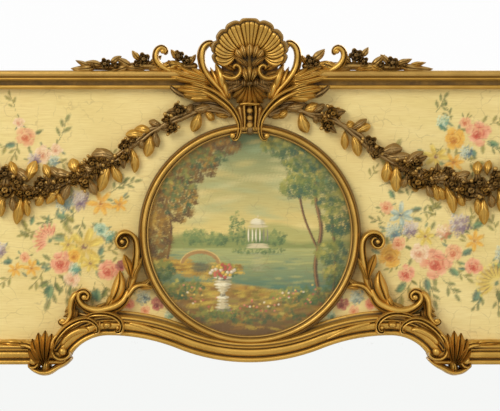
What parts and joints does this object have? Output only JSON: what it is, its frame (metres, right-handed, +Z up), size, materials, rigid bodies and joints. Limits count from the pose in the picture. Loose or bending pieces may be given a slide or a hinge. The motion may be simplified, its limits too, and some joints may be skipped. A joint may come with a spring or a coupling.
{
  "type": "trumeau mirror",
  "caption": "Overmantel mirror with a painted upper panel, round framed picture, carved gilt shell, scrolls and flower swags over a large plate.",
  "frame": {"origin": "middle of the frame's foot, on the plane where its back meets the wall", "axes": "+Y into the wall, +Z up, +X to the viewer's right"},
  "size_m": [1.4, 0.096, 1.81],
  "materials": {
    "gilding": "aged gold leaf on carved wood",
    "darkened_gilding": "bronzed and worn gold leaf on carved wood",
    "painted_ground": "matt cream paint with flowers",
    "painted_picture": "oil paint",
    "mirror_glass": "silvered",
    "raw_wood": "old unfinished pine",
    "hanger_brass": "dull brass",
    "fastener_steel": "dull"
  },
  "bodies": {
    "frame": {"acanthus_left": "gilding", "acanthus_right": "gilding", "apron_moulding_centre": "gilding", "apron_moulding_left": "gilding", "apron_moulding_right": "gilding", "arch_leaves": "gilding", "backboard_1": "raw_wood", "backboard_2": "raw_wood", "backboard_3": "raw_wood", "backboard_4": "raw_wood", "backboard_nails": "fastener_steel", "base_scroll_left": "gilding", "base_scroll_right": "gilding", "bead_drop": "gilding", "bottom_moulding": "gilding", "bottom_rail": "raw_wood", "cockle_shell": "gilding", "corner_pegs": "raw_wood", "corner_shell_left": "gilding", "corner_shell_right": "gilding", "crest_block": "raw_wood", "crest_dowels": "raw_wood", "crest_scroll_left": "gilding", "crest_scroll_right": "gilding", "garland_left_inner": "darkened_gilding", "garland_left_outer": "darkened_gilding", "garland_right_inner": "darkened_gilding", "garland_right_outer": "darkened_gilding", "garland_rosettes": "darkened_gilding", "glazing_slips": "raw_wood", "ground_board_left": "painted_ground", "ground_board_right": "painted_ground", "hanger_screws": "fastener_steel", "hanger_straps": "hanger_brass", "hanging_rail": "raw_wood", "medallion_board": "painted_picture", "middle_rail": "raw_wood", "mirror_plate": "mirror_glass", "palmette": "gilding", "ring_moulding_1": "gilding", "ring_moulding_2": "gilding", "ring_moulding_3": "gilding", "ring_moulding_4": "gilding", "ring_scroll_left": "gilding", "ring_scroll_right": "gilding", "shell_heart": "gilding", "shell_volutes": "gilding", "side_moulding_left": "gilding", "side_moulding_right": "gilding", "stile_left": "raw_wood", "stile_right": "raw_wood", "top_moulding": "gilding", "top_rail": "raw_wood", "top_scroll_left": "darkened_gilding", "top_scroll_right": "darkened_gilding", "top_spray_left": "darkened_gilding", "top_spray_right": "darkened_gilding"},
    "left_ring": {"hanging_ring_left": "hanger_brass"},
    "right_ring": {"hanging_ring_right": "hanger_brass"}
  },
  "joints": [
    {"name": "left_ring_swing", "type": "hinge", "parent": "frame", "child": "left_ring", "pos_m": [-0.43, -0.0055, 1.575], "axis": [1, 0, 0], "range_deg": [0, 180]},
    {"name": "right_ring_swing", "type": "hinge", "parent": "frame", "child": "right_ring", "pos_m": [0.43, -0.0055, 1.575], "axis": [1, 0, 0], "range_deg": [0, 180]}
  ]
}
